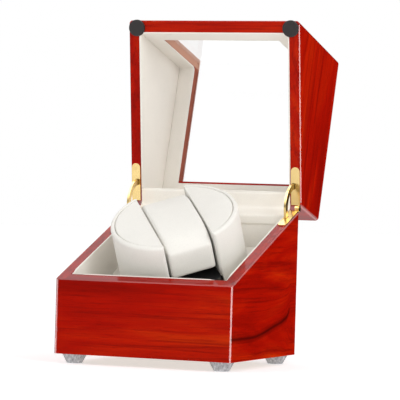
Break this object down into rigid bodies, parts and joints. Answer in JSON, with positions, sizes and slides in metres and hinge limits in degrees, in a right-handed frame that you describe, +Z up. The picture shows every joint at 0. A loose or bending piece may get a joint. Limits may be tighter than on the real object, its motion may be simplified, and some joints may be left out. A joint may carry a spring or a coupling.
{
  "type": "watch winder",
  "caption": "Lacquered slant-rimmed watch winder whose clear-windowed lid stands open on quadrant hinges over a tilted, turning, leather-covered drum with a slotted cushion.",
  "frame": {"origin": "middle of the base's footprint, on the plane that the feet stand on", "axes": "+Z up, -Y is the front, +X is the right side seen from the front; the lid stands open at rest"},
  "size_m": [0.132, 0.196, 0.2432],
  "materials": {
    "lacquer": "high gloss red-brown lacquer over wood veneer",
    "board": "plain fibre board",
    "leather": "cream fine-grained leather cloth",
    "gilt": "polished gilt",
    "steel": "zinc plated",
    "foot": "satin silver-grey",
    "bumper": "matt dark grey",
    "window": "clear polished sheet",
    "black_plastic": "fine matt",
    "gear_plastic": "moulded white",
    "bronze": "sintered bronze",
    "circuit": "green circuit board"
  },
  "bodies": {
    "base": {"base_case": "lacquer", "floor_board": "board", "floor_screws": "steel", "foot_front_left": "foot", "foot_front_right": "foot", "foot_rear_left": "foot", "foot_rear_right": "foot", "foot_screws": "steel", "base_lining_left": "leather", "base_lining_right": "leather", "base_lining_front": "leather", "base_lining_rear": "leather", "deck_cover": "leather", "deck_board": "board", "deck_batten_left": "board", "deck_batten_right": "board", "flap_base": "leather", "control_plate": "black_plastic", "power_inlet": "black_plastic", "mode_switch": "black_plastic", "circuit_board": "circuit", "motor_plate": "steel", "spacers": "steel", "spacer_screws": "steel", "motor_screws": "steel", "gear_motor": "steel", "upper_bush": "bronze", "lower_bush": "bronze", "hinge_base_leaf_left": "gilt", "hinge_base_leaf_right": "gilt", "hinge_pins": "gilt", "hinge_base_screws": "gilt"},
    "lid": {"lid_case": "lacquer", "lid_window": "window", "lid_lining_left": "leather", "lid_lining_right": "leather", "lid_lining_rear": "leather", "lid_lining_top": "leather", "lid_lining_front": "leather", "bumper_left": "bumper", "bumper_right": "bumper", "hinge_lid_leaf_left": "gilt", "hinge_lid_leaf_right": "gilt", "hinge_lid_screws": "gilt", "flap_lid": "leather"},
    "stays": {"stay_arm_left": "gilt", "stay_arm_right": "gilt"},
    "drum": {"drum_core": "black_plastic", "cheek_shell_left": "leather", "cheek_shell_right": "leather", "cheek_pad_left": "leather", "cheek_pad_right": "leather", "drum_shaft": "steel", "shaft_clip": "steel", "drum_gear": "gear_plastic"},
    "cushion": {"watch_cushion": "leather"},
    "pinion": {"motor_pinion": "gear_plastic", "motor_shaft": "steel"},
    "knob": {"mode_knob": "black_plastic"}
  },
  "joints": [
    {"name": "lid_hinge", "type": "hinge", "parent": "base", "child": "lid", "pos_m": [0, 0.06303, 0.10991], "axis": [1, 0, 0], "range_deg": [0, 106.3]},
    {"name": "stay_swing", "type": "hinge", "parent": "base", "child": "stays", "pos_m": [0, 0.06303, 0.10991], "axis": [1, 0, 0], "range_deg": [0, 38.27]},
    {"name": "drum_spin", "type": "hinge", "parent": "base", "child": "drum", "pos_m": [0, -0.0115, 0.10329], "axis": [0, -0.5, 0.866], "continuous": true},
    {"name": "pinion_spin", "type": "hinge", "parent": "base", "child": "pinion", "pos_m": [0.0252, -0.0115, 0.10329], "axis": [0, -0.5, 0.866], "continuous": true},
    {"name": "cushion_pull", "type": "slide", "parent": "drum", "child": "cushion", "axis": [0, -0.5, 0.866], "range_m": [0, 0.028]},
    {"name": "knob_turn", "type": "hinge", "parent": "base", "child": "knob", "pos_m": [-0.012, 0.061, 0.0365], "axis": [0, 1, 0], "range_deg": [-120, 120]}
  ],
  "couplings": [
    {"joint": "stay_swing", "follows": "lid_hinge", "ratio": 0.36},
    {"joint": "pinion_spin", "follows": "drum_spin", "ratio": -3}
  ]
}
